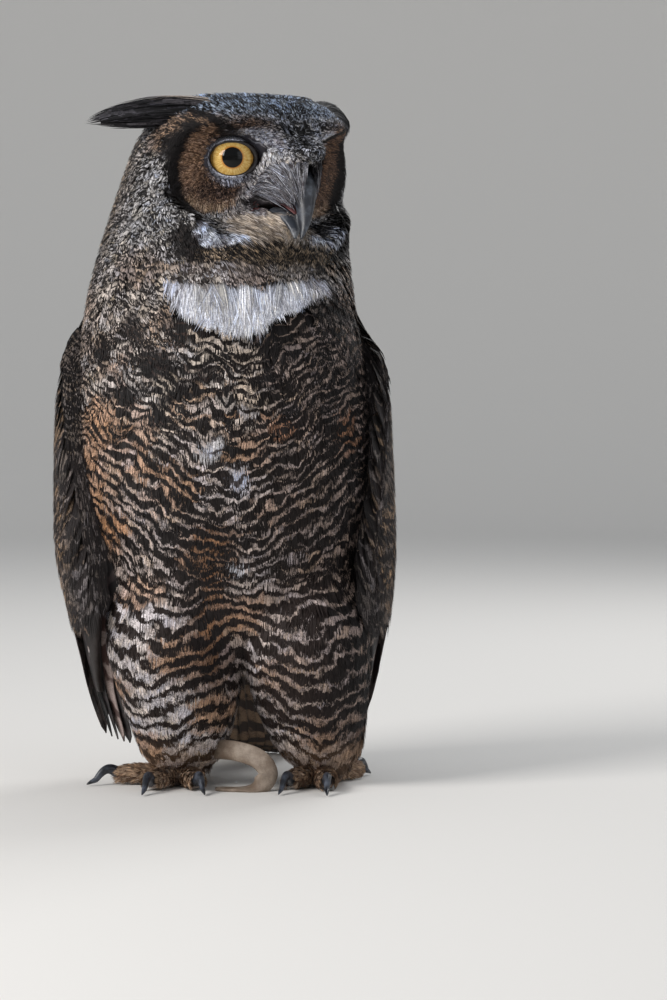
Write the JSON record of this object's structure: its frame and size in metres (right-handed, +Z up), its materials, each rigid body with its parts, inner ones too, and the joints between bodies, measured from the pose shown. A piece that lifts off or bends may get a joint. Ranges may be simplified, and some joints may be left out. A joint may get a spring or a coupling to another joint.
{
  "type": "great horned owl",
  "caption": "Life-size great horned owl standing upright with its head turned to its left, bill a little open, leather anklets and a short strap on its legs.",
  "frame": {"origin": "on the floor under the middle of the owl's bounding box", "axes": "+Z up, -Y towards what the owl's breast faces, +X to the owl's left"},
  "size_m": [0.2249, 0.2565, 0.4505],
  "materials": {
    "plumage": "dark brown, buff and white barred feathers",
    "pale_plumage": "buff and white feathers with narrow dark bars and mottling",
    "dark_plumage": "near black feathers of the ear tufts",
    "horn": "blue-black polished horn of the bill and claws",
    "eye": "wet golden yellow iris with a round black pupil",
    "mouth": "moist dark pink tongue",
    "leather": "pale tan undyed leather, matt"
  },
  "bodies": {
    "root": {"trunk": "plumage", "neck": "plumage", "tail": "plumage", "wing_left": "plumage", "wing_right": "plumage", "primaries_left": "plumage", "primaries_right": "plumage", "head": "pale_plumage", "leg_left": "pale_plumage", "leg_right": "pale_plumage", "foot_left": "pale_plumage", "foot_right": "pale_plumage", "toe_left_inner": "pale_plumage", "claw_left_inner": "horn", "toe_left_middle": "pale_plumage", "claw_left_middle": "horn", "toe_left_outer": "pale_plumage", "claw_left_outer": "horn", "toe_left_hallux": "pale_plumage", "claw_left_hallux": "horn", "eye_left": "eye", "ear_tuft_left": "dark_plumage", "anklet_left": "leather", "toe_right_inner": "pale_plumage", "claw_right_inner": "horn", "toe_right_middle": "pale_plumage", "claw_right_middle": "horn", "toe_right_outer": "pale_plumage", "claw_right_outer": "horn", "toe_right_hallux": "pale_plumage", "claw_right_hallux": "horn", "eye_right": "eye", "ear_tuft_right": "dark_plumage", "anklet_right": "leather", "bill_upper": "horn", "bill_lower": "horn", "tongue": "mouth", "jess_right": "leather"}
  },
  "joints": []
}
